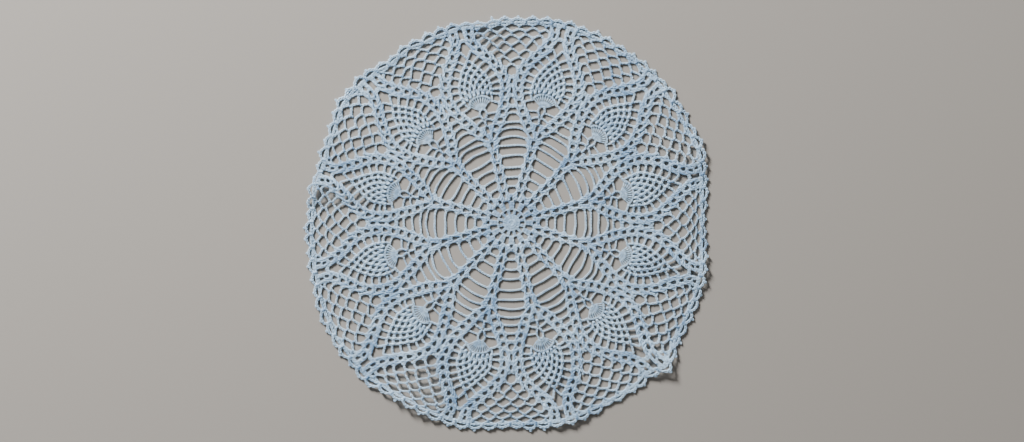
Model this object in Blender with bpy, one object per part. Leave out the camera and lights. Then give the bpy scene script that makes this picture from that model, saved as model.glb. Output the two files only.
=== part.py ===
"""Round lace doily, crocheted in one piece from its centre outward.

It lies on a table: one cotton sheet with twelve open ladders round a close centre, a pineapple
between each pair of ladders, a diamond net that widens to the rim, and an edge of small picots.
The pattern is drawn even, in millimetres, and then laid as unevenly as the cloth lies.
"""

import math
from collections import namedtuple

import bmesh
import bpy

MM = 0.001
FULL_TURN = 360.0

# Driving dimensions, in millimetres. The origin is the ring that the work starts from, on the table.
SECTORS = 12
RIM_RADIUS = 155.0
CLOTH_THICKNESS = 1.5
PICOTS = 96
PICOT_RISE = 1.7
PICOT_DIP = 1.5
PICOT_TIP_SHARE = 0.16

# Gaps between the bars of a ladder, from the centre out: the radii of the bars' near edges, and half
# the gap's width at its inner end, at its widest and at its outer end.
Slot = namedtuple("Slot", "inner outer half_inner half_widest half_outer")
LADDER = (
    Slot(28.1, 33.5, 2.3, 4.9, 4.0),
    Slot(35.1, 40.6, 4.0, 6.8, 5.8),
    Slot(42.5, 48.7, 6.6, 9.0, 7.9),
    Slot(50.6, 56.0, 8.4, 10.9, 9.4),
    Slot(58.4, 62.7, 9.6, 11.4, 7.6),
    Slot(64.5, 68.7, 8.0, 9.5, 6.2),
    Slot(70.5, 74.7, 5.9, 6.9, 4.4),
    Slot(76.3, 80.1, 3.8, 4.6, 2.8),
)

# Other gaps, placed across and outward from the axis of a pineapple. One off the axis is mirrored.
Gap = namedtuple("Gap", "name across outward wide tall lean sides")
PINEAPPLE = (
    Gap("beside the stem", 8.5, 87.4, 7.6, 6.6, 0.0, 8),
    Gap("beside the fourth mesh row", 13.6, 113.6, 6.4, 4.4, 24.0, 8),
    Gap("beside the fifth mesh row", 10.5, 119.3, 6.2, 4.4, 34.0, 8),
    Gap("over the tip", 0.0, 135.2, 6.4, 10.2, 0.0, 8),
)

# Rows of the diamond net, one gap more in each, on the axis of a ladder.
NetRow = namedtuple("NetRow", "radius gaps wide tall")
NET_PITCH = 10.4
NET_SIDES = 6
NET = (
    NetRow(114.2, 1, 7.0, 7.2),
    NetRow(121.6, 2, 7.0, 5.7),
    NetRow(127.9, 3, 6.8, 5.6),
    NetRow(133.7, 4, 6.8, 5.2),
)

# How far the cloth lies from the even pattern, every 30 degrees: outward at three radii, and
# sideways (anticlockwise) at three.
LADDER_RADIUS, WAIST_RADIUS, NET_RADIUS = 54.0, 105.0, 135.0
CALM_RADIUS = 15.0
Lay = namedtuple("Lay", "ladder waist net drift_ladder drift_waist drift_rim")
LAY = (
    Lay(-2.6, -5.5, -4.3, -0.4, -2.0, -2.0),
    Lay(-0.4, -2.3, -2.5, 0.8, 0.3, -1.7),
    Lay(1.9, 1.3, 0.1, 0.5, -0.5, -0.1),
    Lay(1.1, 0.3, -1.3, -1.1, -0.1, -0.2),
    Lay(-0.9, -1.3, -1.1, -1.4, 0.7, 0.5),
    Lay(-1.4, -2.8, -2.7, -0.3, 0.3, 1.3),
    Lay(0.1, -1.7, -2.2, 0.1, 0.3, -0.9),
    Lay(0.9, 2.2, 2.3, 0.9, 0.9, -4.0),
    Lay(1.6, 4.3, 3.9, 0.2, 0.4, -4.1),
    Lay(1.1, 2.5, 1.3, -0.9, 0.1, -1.4),
    Lay(-0.1, -0.2, 0.5, -1.2, -1.1, -0.2),
    Lay(-1.5, -3.4, -1.8, -1.6, -2.7, -0.1),
)
# The rim's own shift outward, every 15 degrees.
RIM_SHIFT = (
    (-9.8, -4.4, -1.4, 1.3, 0.9, 1.7)
    + (-0.5, -0.5, 0.0, 1.9, -0.6, -3.5)
    + (-1.4, 0.5, 5.0, 6.7, 2.9, 3.5)
    + (-1.0, 2.0, 0.7, 3.5, -2.0, -4.6)
)

# Short pulls and corners of the rim on top of that: direction and half width in degrees, shift in mm.
Pull = namedtuple("Pull", "turn half_width shift")
RIM_PULLS = (
    Pull(22.0, 7.0, 3.0),
    Pull(98.0, 6.0, -1.8),
    Pull(127.0, 6.0, -2.6),
    Pull(143.0, 11.0, 3.4),
    Pull(170.5, 5.0, 2.4),
    Pull(229.0, 5.0, 1.6),
    Pull(311.0, 5.0, -2.6),
    Pull(317.0, 4.0, 4.6),
)

# Low ripples that lift the rim off the table: direction and half width in degrees, height in mm.
Ripple = namedtuple("Ripple", "turn half_width height")
RIPPLE_START_RADIUS = 92.0
RIPPLES = (
    Ripple(20.0, 11.0, 1.6),
    Ripple(98.0, 9.0, 1.4),
    Ripple(170.0, 6.0, 3.4),
    Ripple(240.0, 15.0, 3.2),
    Ripple(286.0, 9.0, 1.6),
    Ripple(317.0, 7.0, 3.0),
    Ripple(346.0, 9.0, 2.2),
)

COTTON_COLOUR = (0.43, 0.55, 0.65, 1.0)
COTTON_ROUGHNESS = 0.9


def smooth_ring(values, degrees):
    """Value at an angle, on a smooth curve through a ring of evenly spaced values."""
    place = (degrees / FULL_TURN % 1.0) * len(values)
    step = int(place)
    part = place - step
    before, here, after, beyond = (values[(step + k) % len(values)] for k in (-1, 0, 1, 2))
    cubic = 3.0 * (here - after) + beyond - before
    square = 2.0 * before - 5.0 * here + 4.0 * after - beyond
    return here + 0.5 * part * (after - before + part * (square + part * cubic))


def along_radius(radius, stations):
    """Value between the two stations, given as (radius, value), that a radius lies between."""
    for (near, low), (far, high) in zip(stations, stations[1:]):
        if radius <= far:
            return low + (high - low) * max(0.0, radius - near) / (far - near)
    return stations[-1][1]


def hump(degrees, centre, half_width):
    """A soft hump of height 1 at the centre, level beyond the half width."""
    off = abs((degrees - centre + 0.5 * FULL_TURN) % FULL_TURN - 0.5 * FULL_TURN)
    return 0.5 * (1.0 + math.cos(math.pi * off / half_width)) if off < half_width else 0.0


def lay_down(radius, degrees):
    """Plan position in metres of a point of the even pattern, as the cloth really lies."""
    row = Lay(*(smooth_ring(column, degrees) for column in zip(*LAY)))
    rim = smooth_ring(RIM_SHIFT, degrees)
    rim += sum(pull.shift * hump(degrees, pull.turn, pull.half_width) for pull in RIM_PULLS)
    outward = (
        (CALM_RADIUS, 0.0),
        (LADDER_RADIUS, row.ladder),
        (WAIST_RADIUS, row.waist),
        (NET_RADIUS, row.net),
        (RIM_RADIUS, rim),
    )
    sideways = (
        (CALM_RADIUS, 0.0),
        (LADDER_RADIUS, row.drift_ladder),
        (WAIST_RADIUS, row.drift_waist),
        (RIM_RADIUS, row.drift_rim),
    )
    laid_radius = radius + along_radius(radius, outward)
    angle = math.radians(degrees) + along_radius(radius, sideways) / max(radius, CALM_RADIUS)
    return (laid_radius * MM * math.cos(angle), laid_radius * MM * math.sin(angle))


def from_axis(across, outward, axis_degrees):
    """Laid position of a point given across and outward from an axis of the pattern."""
    radius = math.hypot(across, outward)
    return lay_down(radius, axis_degrees - math.degrees(math.atan2(across, outward)))


def rim_outline():
    """The edge, with one blunt point for each picot."""
    pitch = FULL_TURN / PICOTS
    profile = (
        (0.0, -PICOT_DIP),
        (0.5 - PICOT_TIP_SHARE, PICOT_RISE),
        (0.5 + PICOT_TIP_SHARE, PICOT_RISE),
    )
    return [
        lay_down(RIM_RADIUS + rise, (picot + share) * pitch)
        for picot in range(PICOTS)
        for share, rise in profile
    ]


def slot_outline(slot, axis_degrees):
    """One gap of a ladder: eight corners, widest between its two bars."""
    quarter = (slot.outer - slot.inner) / 4.0
    right = (
        (slot.half_inner, slot.inner),
        (slot.half_widest, slot.inner + quarter),
        (slot.half_widest, slot.outer - quarter),
        (slot.half_outer, slot.outer),
    )
    left = [(-across, outward) for across, outward in reversed(right)]
    return [from_axis(across, outward, axis_degrees) for across, outward in (*right, *left)]


def gap_outline(centre, size, lean, sides, axis_degrees):
    """An oval gap of a few sides, turned by its lean."""
    tilt = math.radians(lean)
    points = []
    for side in range(sides):
        angle = 2.0 * math.pi * (side + 0.5) / sides
        x = 0.5 * size[0] * math.cos(angle)
        y = 0.5 * size[1] * math.sin(angle)
        across = centre[0] + x * math.cos(tilt) - y * math.sin(tilt)
        outward = centre[1] + x * math.sin(tilt) + y * math.cos(tilt)
        points.append(from_axis(across, outward, axis_degrees))
    return points


def ladder_gaps(axis_degrees):
    return [slot_outline(slot, axis_degrees) for slot in LADDER]


def pineapple_gaps(axis_degrees):
    loops = []
    for gap in PINEAPPLE:
        for side in (1.0, -1.0) if gap.across else (1.0,):
            centre = (side * gap.across, gap.outward)
            loops.append(gap_outline(centre, (gap.wide, gap.tall), side * gap.lean, gap.sides, axis_degrees))
    return loops


def net_gaps(axis_degrees):
    loops = []
    for row in NET:
        for gap in range(row.gaps):
            across = (gap - 0.5 * (row.gaps - 1)) * NET_PITCH
            gap_degrees = axis_degrees - math.degrees(across / row.radius)
            centre = (0.0, row.radius)
            loops.append(gap_outline(centre, (row.wide, row.tall), 0.0, NET_SIDES, gap_degrees))
    return loops


def lace_gaps():
    """Every gap that is cut through: twenty-five in each sector."""
    sector = FULL_TURN / SECTORS
    loops = []
    for number in range(SECTORS):
        ladder_axis = number * sector
        loops += ladder_gaps(ladder_axis)
        loops += net_gaps(ladder_axis)
        loops += pineapple_gaps(ladder_axis + 0.5 * sector)
    return loops


def rim_lift(x, y):
    """Height in metres that the ripples give the cloth at a point."""
    radius = math.hypot(x, y) / MM
    climb = min(1.0, max(0.0, (radius - RIPPLE_START_RADIUS) / (RIM_RADIUS - RIPPLE_START_RADIUS)))
    degrees = math.degrees(math.atan2(y, x))
    height = sum(ripple.height * hump(degrees, ripple.turn, ripple.half_width) for ripple in RIPPLES)
    return height * MM * climb**1.5


def add_closed_spline(curve, points):
    spline = curve.splines.new("POLY")
    spline.points.add(len(points) - 1)
    for spline_point, (x, y) in zip(spline.points, points):
        spline_point.co = (x, y, 0.0, 1.0)
    spline.use_cyclic_u = True


def flat_sheet_mesh():
    """The lace as a level sheet: a filled plan curve with its gaps, extruded to the cloth's thickness."""
    curve = bpy.data.curves.new("doily_plan", "CURVE")
    curve.dimensions = "2D"
    curve.fill_mode = "BOTH"
    curve.extrude = 0.5 * CLOTH_THICKNESS * MM
    add_closed_spline(curve, rim_outline())
    for loop in lace_gaps():
        add_closed_spline(curve, loop)
    plan = bpy.data.objects.new("doily_plan", curve)
    bpy.context.scene.collection.objects.link(plan)
    bpy.context.view_layer.update()
    mesh = bpy.data.meshes.new_from_object(plan.evaluated_get(bpy.context.evaluated_depsgraph_get()))
    bpy.data.objects.remove(plan)
    bpy.data.curves.remove(curve)
    return mesh


def shape_sheet(mesh):
    """Joins the sheet's faces to its walls, evens its triangles, rests it and ripples its rim."""
    sheet = bmesh.new()
    sheet.from_mesh(mesh)
    bmesh.ops.remove_doubles(sheet, verts=sheet.verts, dist=1e-6)
    bmesh.ops.triangulate(sheet, faces=sheet.faces)
    level = {face for face in sheet.faces if abs(face.normal.z) > 0.5}
    inner_edges = [edge for edge in sheet.edges if level.issuperset(edge.link_faces)]
    bmesh.ops.beautify_fill(sheet, faces=list(level), edges=inner_edges)
    for vert in sheet.verts:
        vert.co.z += 0.5 * CLOTH_THICKNESS * MM + rim_lift(vert.co.x, vert.co.y)
    bmesh.ops.recalc_face_normals(sheet, faces=sheet.faces)
    sheet.to_mesh(mesh)
    sheet.free()


def cotton_material():
    material = bpy.data.materials.new("cotton_thread")
    material.use_nodes = True
    shader = material.node_tree.nodes["Principled BSDF"]
    shader.inputs["Base Color"].default_value = COTTON_COLOUR
    shader.inputs["Roughness"].default_value = COTTON_ROUGHNESS
    shader.inputs["Metallic"].default_value = 0.0
    return material


def make_doily():
    mesh = flat_sheet_mesh()
    mesh.name = "doily"
    shape_sheet(mesh)
    mesh.materials.clear()
    mesh.materials.append(cotton_material())
    doily = bpy.data.objects.new("doily", mesh)
    bpy.context.scene.collection.objects.link(doily)


def clear_scene():
    for item in list(bpy.data.objects):
        bpy.data.objects.remove(item)


clear_scene()
make_doily()
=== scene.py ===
"""Round lace doily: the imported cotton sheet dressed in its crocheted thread.

The pattern is worked stitch by stitch on an even chart, round after round, and then laid as unevenly
as the cloth lies. Chart places are across and outward from the axis of a ladder or of a pineapple, in
squares of 0.75 mm. Twelve ladders alternate with twelve pineapples.
"""

import logging
import math
from collections.abc import Sequence
from dataclasses import dataclass, field, replace
from enum import Enum
from typing import NamedTuple

import bmesh
import bpy
import numpy as np
from mathutils import Matrix, Vector


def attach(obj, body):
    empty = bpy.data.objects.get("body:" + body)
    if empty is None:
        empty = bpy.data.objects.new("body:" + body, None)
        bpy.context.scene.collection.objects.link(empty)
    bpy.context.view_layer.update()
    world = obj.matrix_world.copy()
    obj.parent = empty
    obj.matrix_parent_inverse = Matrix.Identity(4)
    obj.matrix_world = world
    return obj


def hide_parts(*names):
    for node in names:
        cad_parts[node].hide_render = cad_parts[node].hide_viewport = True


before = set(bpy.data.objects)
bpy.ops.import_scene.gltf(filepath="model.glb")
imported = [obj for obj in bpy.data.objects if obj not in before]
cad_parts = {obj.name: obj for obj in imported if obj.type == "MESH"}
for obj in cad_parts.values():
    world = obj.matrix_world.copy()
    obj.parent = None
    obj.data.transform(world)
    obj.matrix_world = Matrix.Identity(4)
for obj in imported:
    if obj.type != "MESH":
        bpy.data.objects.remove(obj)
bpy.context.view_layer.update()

LOG = logging.getLogger("doily")

Spot = tuple[float, float]
Path = Sequence[Spot]
Colour = tuple[float, float, float, float]

MM = 0.001
FULL_TURN = 360.0
SECTORS = 12
SECTOR_TURN = FULL_TURN / SECTORS
CHART_SQUARE = 0.75  # mm


class StitchKind(Enum):
    """The three shapes that the thread is worked into."""

    LINK = "link"
    POST = "post"
    KNOT = "knot"


# What the finish reads from each mesh: the thread's own turns, and how pale each stitch is, from its own
# tone and from painted light.
THREAD_UV = "thread"
STITCH_TONE_AND_PAINTED_LIGHT = "stitch_tone_and_painted_light"
# Painted light: how much paler each kind is painted than the others, as an open chain takes more light than
# close posts.
KIND_PAINTED_LIGHT = {StitchKind.LINK: 0.55, StitchKind.POST: 0.0, StitchKind.KNOT: 0.3}


# How the cloth lies


@dataclass(frozen=True)
class ClothLay:
    """How far the cloth lies from the even pattern, in mm. The tables are those of the sheet's solid.

    Each row of table stands for one direction, every 30 degrees: outward at the ladders, the waist and
    the net, then sideways (anticlockwise) at the ladders, the waist and the rim.
    """

    calm_radius: float = 15.0
    ladder_radius: float = 54.0
    waist_radius: float = 105.0
    net_radius: float = 135.0
    rim_radius: float = 155.0
    table: tuple[tuple[float, ...], ...] = (
        (-2.6, -5.5, -4.3, -0.4, -2.0, -2.0),
        (-0.4, -2.3, -2.5, 0.8, 0.3, -1.7),
        (1.9, 1.3, 0.1, 0.5, -0.5, -0.1),
        (1.1, 0.3, -1.3, -1.1, -0.1, -0.2),
        (-0.9, -1.3, -1.1, -1.4, 0.7, 0.5),
        (-1.4, -2.8, -2.7, -0.3, 0.3, 1.3),
        (0.1, -1.7, -2.2, 0.1, 0.3, -0.9),
        (0.9, 2.2, 2.3, 0.9, 0.9, -4.0),
        (1.6, 4.3, 3.9, 0.2, 0.4, -4.1),
        (1.1, 2.5, 1.3, -0.9, 0.1, -1.4),
        (-0.1, -0.2, 0.5, -1.2, -1.1, -0.2),
        (-1.5, -3.4, -1.8, -1.6, -2.7, -0.1),
    )
    rim_shift: tuple[float, ...] = (
        (-9.8, -4.4, -1.4, 1.3, 0.9, 1.7)
        + (-0.5, -0.5, 0.0, 1.9, -0.6, -3.5)
        + (-1.4, 0.5, 5.0, 6.7, 2.9, 3.5)
        + (-1.0, 2.0, 0.7, 3.5, -2.0, -4.6)
    )
    # Short pulls and corners of the rim: direction and half width in degrees, shift.
    rim_pulls: tuple[tuple[float, float, float], ...] = (
        (22.0, 7.0, 3.0),
        (98.0, 6.0, -1.8),
        (127.0, 6.0, -2.6),
        (143.0, 11.0, 3.4),
        (170.5, 5.0, 2.4),
        (229.0, 5.0, 1.6),
        (311.0, 5.0, -2.6),
        (317.0, 4.0, 4.6),
    )
    # Ripples that lift the rim: direction and half width in degrees, height.
    ripples: tuple[tuple[float, float, float], ...] = (
        (20.0, 11.0, 1.6),
        (98.0, 9.0, 1.4),
        (170.0, 6.0, 3.4),
        (240.0, 15.0, 3.2),
        (286.0, 9.0, 1.6),
        (317.0, 7.0, 3.0),
        (346.0, 9.0, 2.2),
    )
    ripple_start: float = 92.0
    # How slowly the cloth starts to climb towards the rim.
    ripple_climb: float = 1.5
    # Small wander of the stitches in the plane and in height: waves across the cloth, seeded. The
    # pace is how much shorter the waves of height are, and least is the share left at the middle.
    wander: float = 0.448
    heave: float = 0.07
    waves: int = 10
    wave_lengths: tuple[float, float] = (9.0, 34.0)
    heave_pace: float = 1.4
    least_wander: float = 0.25
    seed: int = 11

    @staticmethod
    def smooth_ring(values: np.ndarray, degrees: np.ndarray) -> np.ndarray:
        """Reads a smooth closed curve through evenly spaced values.

        Args:
            values: one value for each even step round the circle.
            degrees: where the curve is read.

        Returns:
            The value at each angle.
        """
        place = (degrees / FULL_TURN % 1.0) * len(values)
        step = place.astype(int)
        part = place - step
        before, here, after, beyond = (values[(step + k) % len(values)] for k in (-1, 0, 1, 2))
        cubic = 3.0 * (here - after) + beyond - before
        square = 2.0 * before - 5.0 * here + 4.0 * after - beyond
        return here + 0.5 * part * (after - before + part * (square + part * cubic))

    @staticmethod
    def hump(degrees: np.ndarray, centre: float, half_width: float) -> np.ndarray:
        """Gives a soft hump of height 1 at the centre, level beyond the half width."""
        off = np.abs((degrees - centre + 0.5 * FULL_TURN) % FULL_TURN - 0.5 * FULL_TURN)
        return np.where(off < half_width, 0.5 * (1.0 + np.cos(np.pi * off / half_width)), 0.0)

    @staticmethod
    def along_radius(radius: np.ndarray, stations: list[tuple[float, np.ndarray]]) -> np.ndarray:
        """Runs in straight steps from station to station.

        Args:
            radius: where the value is wanted.
            stations: radius and value of each station, from the centre out.

        Returns:
            The value at each radius.
        """
        total = np.zeros_like(radius) + stations[0][1]
        for (near, low), (far, high) in zip(stations, stations[1:]):
            total += (high - low) * np.clip((radius - near) / (far - near), 0.0, 1.0)
        return total

    def stir(self, plan: np.ndarray) -> tuple[np.ndarray, np.ndarray]:
        """Wanders the stitches a little off the even pattern.

        Args:
            plan: even places (n, 2), in mm.

        Returns:
            The wandered places (n, 2) and a small height for each.
        """
        draw = np.random.default_rng(self.seed)
        shift = np.zeros_like(plan)
        height = np.zeros(len(plan))
        for _ in range(self.waves):
            length = draw.uniform(*self.wave_lengths)
            angle, phase, swing, lift_phase = draw.uniform(0.0, 2.0 * math.pi, 4)
            ahead = plan[:, 0] * math.cos(angle) + plan[:, 1] * math.sin(angle)
            ahead *= 2.0 * math.pi / length
            wave = np.sin(ahead + phase)
            shift[:, 0] += wave * math.cos(swing)
            shift[:, 1] += wave * math.sin(swing)
            height += np.sin(self.heave_pace * ahead + lift_phase)
        share = 1.0 / math.sqrt(self.waves)
        calm = np.clip(np.hypot(*plan.T) / self.ladder_radius, self.least_wander, 1.0)[:, None]
        return plan + shift * calm * share * self.wander, height * share * self.heave

    def lay(self, points: np.ndarray) -> np.ndarray:
        """Lays points of the even pattern as the cloth lies.

        Args:
            points: even places and heights (n, 3), in mm.

        Returns:
            The same points in metres, in the frame of the solid.
        """
        plan, heave = self.stir(points[:, :2])
        radius = np.hypot(plan[:, 0], plan[:, 1])
        degrees = np.degrees(np.arctan2(plan[:, 1], plan[:, 0]))
        columns = [self.smooth_ring(np.array(column), degrees) for column in zip(*self.table)]
        rim = self.smooth_ring(np.array(self.rim_shift), degrees)
        for turn, half_width, shift in self.rim_pulls:
            rim += shift * self.hump(degrees, turn, half_width)
        still = np.zeros_like(radius)
        inner = (self.calm_radius, self.ladder_radius, self.waist_radius)
        outward = zip((*inner, self.net_radius, self.rim_radius), (still, *columns[:3], rim))
        outward = self.along_radius(radius, list(outward))
        sideways = zip((*inner, self.rim_radius), (still, *columns[3:]))
        sideways = self.along_radius(radius, list(sideways))
        angle = np.radians(degrees) + sideways / np.maximum(radius, self.calm_radius)
        laid = np.stack([np.cos(angle), np.sin(angle)], axis=1) * (radius + outward)[:, None]
        height = points[:, 2] + heave + self.lift(laid)
        return np.column_stack([laid, height]) * MM

    def lift(self, laid: np.ndarray) -> np.ndarray:
        """Gives the height that the ripples lift the cloth by.

        Args:
            laid: places of the cloth as it lies (n, 2), in mm.

        Returns:
            The height at each place, in mm.
        """
        radius = np.hypot(laid[:, 0], laid[:, 1])
        degrees = np.degrees(np.arctan2(laid[:, 1], laid[:, 0]))
        climb = np.clip((radius - self.ripple_start) / (self.rim_radius - self.ripple_start), 0.0, 1.0)
        height = np.zeros_like(radius)
        for turn, half_width, rise in self.ripples:
            height += rise * self.hump(degrees, turn, half_width)
        return height * climb**self.ripple_climb


# Stitches


@dataclass(frozen=True)
class Template:
    """One stitch as arrays: its points, its faces as loops of points, and the thread's own UVs."""

    points: np.ndarray
    loops: np.ndarray
    sizes: np.ndarray
    twist: np.ndarray


@dataclass(frozen=True)
class StitchKit:
    """Makes one of each stitch, in mm, lying along +X from 0 to 1 of its length."""

    thread: float = 0.78
    link_length: float = 2.35
    link_width: float = 1.76
    link_overlap: float = 0.36
    link_tilt: float = 0.13
    # Its width at the middle as a share of the whole, and how much more the leading end has of it.
    link_waist: float = 0.92
    link_flare: float = 0.16
    link_steps: int = 6
    link_sides: int = 4
    post_strand: float = 0.90
    post_offset: float = 0.37
    post_turns: float = 1.25
    post_steps: int = 8
    post_sides: int = 4
    post_flatness: float = 0.82
    # Girth of a post, how much more it is where it swells, and where that half wave starts and how
    # far it runs.
    post_girth: float = 0.86
    post_swell: float = 0.2
    post_wave: tuple[float, float] = (0.15, 0.75)
    knot_width: float = 1.5
    knot_height: float = 1.0

    def freeze(
        self, shape: bmesh.types.BMesh, around: list[float], section: list[float]
    ) -> Template:
        """Turns a finished bmesh into a template.

        Args:
            shape: the stitch, whose faces point outwards.
            around: for each vertex, its turn along the thread in radians.
            section: for each vertex, its turn round the thread in radians.

        Returns:
            The template. Its UVs count turns, and don't tear where a turn ends.
        """
        shape.verts.index_update()
        faces = sorted([vert.index for vert in face.verts] for face in shape.faces)
        points = np.array([vert.co[:] for vert in shape.verts])
        shape.free()
        twist = []
        for face in faces:
            turns = np.array([around, section])[:, face]
            step = (turns - turns[:, :1] + math.pi) % (2.0 * math.pi) - math.pi
            twist.append((turns[:, :1] + step).T / (2.0 * math.pi))
        sizes = [len(face) for face in faces]
        return Template(points, np.concatenate(faces), np.array(sizes), np.concatenate(twist))

    def link(self) -> Template:
        """Makes one loop of chain: a ring of thread pulled long, its leading end over the next one.

        Returns:
            The loop.
        """
        ring = 0.5 * (self.link_width - self.thread)
        reach = 0.5 * (1.0 + self.link_overlap) * self.link_length - 0.5 * self.thread - ring
        shape = bmesh.new()
        section = Matrix.Translation((ring, 0.0, 0.0)) @ Matrix.Rotation(0.5 * math.pi, 4, "X")
        bmesh.ops.create_circle(shape, segments=self.link_sides, radius=0.5 * self.thread, matrix=section)
        bmesh.ops.spin(
            shape,
            geom=shape.verts[:] + shape.edges[:],
            cent=(0.0, 0.0, 0.0),
            axis=(0.0, 0.0, 1.0),
            angle=2.0 * math.pi,
            steps=self.link_steps,
            use_merge=True,
        )
        bmesh.ops.recalc_face_normals(shape, faces=shape.faces)
        around = [math.atan2(vert.co.y, vert.co.x) for vert in shape.verts]
        across = [math.atan2(vert.co.z, math.hypot(vert.co.x, vert.co.y) - ring) for vert in shape.verts]
        for vert, turn in zip(shape.verts, around):
            share = math.cos(turn)
            vert.co.x += reach * share
            vert.co.y *= self.link_waist + self.link_flare * share
            vert.co.z += self.link_tilt * share
        bmesh.ops.scale(shape, verts=shape.verts, vec=(1.0 / self.link_length, 1.0, 1.0))
        bmesh.ops.translate(shape, verts=shape.verts, vec=(0.5, 0.0, 0.0))
        return self.freeze(shape, around, across)

    def post(self) -> Template:
        """Makes one post, as of a treble: two strands wound round each other, their ends closed.

        Returns:
            The post.
        """
        shape = bmesh.new()
        around, across = [], []
        for half_turn in (0.0, math.pi):
            place = Matrix.Rotation(half_turn, 4, "X") @ Matrix.Translation((0.0, self.post_offset, 0.0))
            before = set(shape.verts)
            bmesh.ops.create_circle(
                shape,
                segments=self.post_sides,
                radius=0.5 * self.post_strand,
                matrix=place @ Matrix.Rotation(0.5 * math.pi, 4, "Y"),
            )
            ring = [vert for vert in shape.verts if vert not in before]
            ring += [edge for edge in shape.edges if edge.is_wire]
            bmesh.ops.spin(
                shape,
                geom=ring,
                cent=(0.0, 0.0, 0.0),
                axis=(1.0, 0.0, 0.0),
                dvec=(1.0 / self.post_steps, 0.0, 0.0),
                angle=2.0 * math.pi * self.post_turns,
                steps=self.post_steps,
                use_merge=False,
            )
            strand = [vert for vert in shape.verts if vert not in before]
            for vert in strand:
                turn = half_turn + 2.0 * math.pi * self.post_turns * vert.co.x
                core_y, core_z = self.post_offset * math.cos(turn), self.post_offset * math.sin(turn)
                around.append(2.0 * math.pi * vert.co.x)
                across.append(math.atan2(vert.co.z - core_z, vert.co.y - core_y))
        bmesh.ops.holes_fill(shape, edges=[edge for edge in shape.edges if edge.is_boundary], sides=0)
        bmesh.ops.recalc_face_normals(shape, faces=shape.faces)
        for vert in shape.verts:
            wave = math.sin(math.pi * (self.post_wave[0] + self.post_wave[1] * vert.co.x))
            girth = self.post_girth + self.post_swell * wave
            vert.co.y *= girth
            vert.co.z *= girth * self.post_flatness
        return self.freeze(shape, around, across)

    def knot(self) -> Template:
        """Makes one tight knot: a block of thread rounded to a lump.

        Returns:
            The knot.
        """
        shape = bmesh.new()
        bmesh.ops.create_cube(shape, size=1.0)
        bmesh.ops.subdivide_edges(shape, edges=shape.edges[:], cuts=1, use_grid_fill=True)
        bmesh.ops.translate(shape, verts=shape.verts, vec=(0.5, 0.0, 0.0))
        for vert in shape.verts:
            spoke = 0.5 * (vert.co - Vector((0.5, 0.0, 0.0))).normalized()
            vert.co = Vector((0.5 + spoke.x, spoke.y * self.knot_width, spoke.z * self.knot_height))
        bmesh.ops.recalc_face_normals(shape, faces=shape.faces)
        around = [math.atan2(vert.co.y, vert.co.x - 0.5) for vert in shape.verts]
        across = [2.0 * math.pi * vert.co.z for vert in shape.verts]
        return self.freeze(shape, around, across)


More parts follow.
